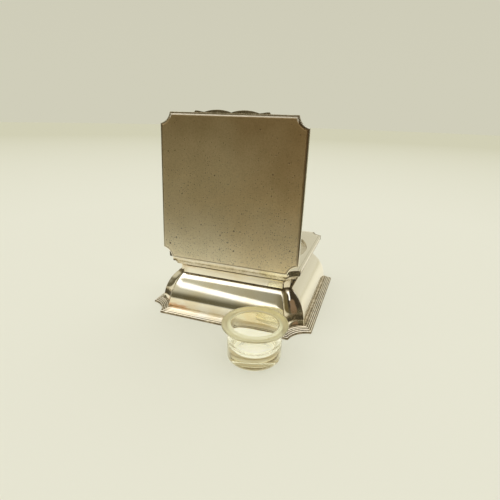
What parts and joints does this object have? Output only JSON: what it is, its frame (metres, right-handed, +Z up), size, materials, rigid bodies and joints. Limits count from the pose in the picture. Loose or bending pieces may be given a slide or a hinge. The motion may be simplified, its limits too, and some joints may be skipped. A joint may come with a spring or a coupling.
{
  "type": "inkwell",
  "caption": "Square silver desk inkwell with bulged sides, reeded foot with notched corners, hinged flat lid standing open, and a flanged glass pot taken out of its well.",
  "frame": {"origin": "middle of the baize under the foot, on the table", "axes": "+Z up; -Y is the front, where the lid's thumb piece is when closed; +Y is the hinge side, behind which the glass pot stands"},
  "size_m": [0.152, 0.2052, 0.1752],
  "materials": {
    "silver": "polished silver, lightly tarnished",
    "satin_silver": "satin silver, brown tarnish with small pits",
    "steel": "drawn wire",
    "pitch": "cast, matt",
    "wood": "plain planed board",
    "baize": "napped wool",
    "glass": "clear moulded glass, faintly yellow"
  },
  "bodies": {
    "body": {"baize_pad": "baize", "base_board": "wood", "foot_border": "silver", "body_shell": "silver", "pitch_loading": "pitch", "neck_cavetto": "silver", "stepped_rim": "silver", "top_plate": "silver", "well_cup": "silver", "body_hinge_bearer": "silver", "hinge_knuckle_1": "silver", "hinge_knuckle_3": "silver", "hinge_knuckle_5": "silver", "hinge_knuckle_7": "silver", "hinge_pin": "steel", "hinge_plug_left": "silver", "hinge_plug_right": "silver"},
    "lid": {"lid_hinge_bearer": "silver", "hinge_knuckle_2": "silver", "hinge_knuckle_4": "silver", "hinge_knuckle_6": "silver", "lid_border": "silver", "lid_plate": "satin_silver", "lid_lining": "silver", "thumb_piece": "silver"},
    "pot": {"glass_pot": "glass"}
  },
  "joints": [
    {"name": "lid_hinge", "type": "hinge", "parent": "body", "child": "lid", "pos_m": [0, 0.0597, 0.0519], "axis": [-1, 0, 0], "range_deg": [-87, 8]},
    {"name": "pot_lift", "type": "slide", "parent": "body", "child": "pot", "axis": [0, 0, 1], "range_m": [0, 0.18]}
  ]
}
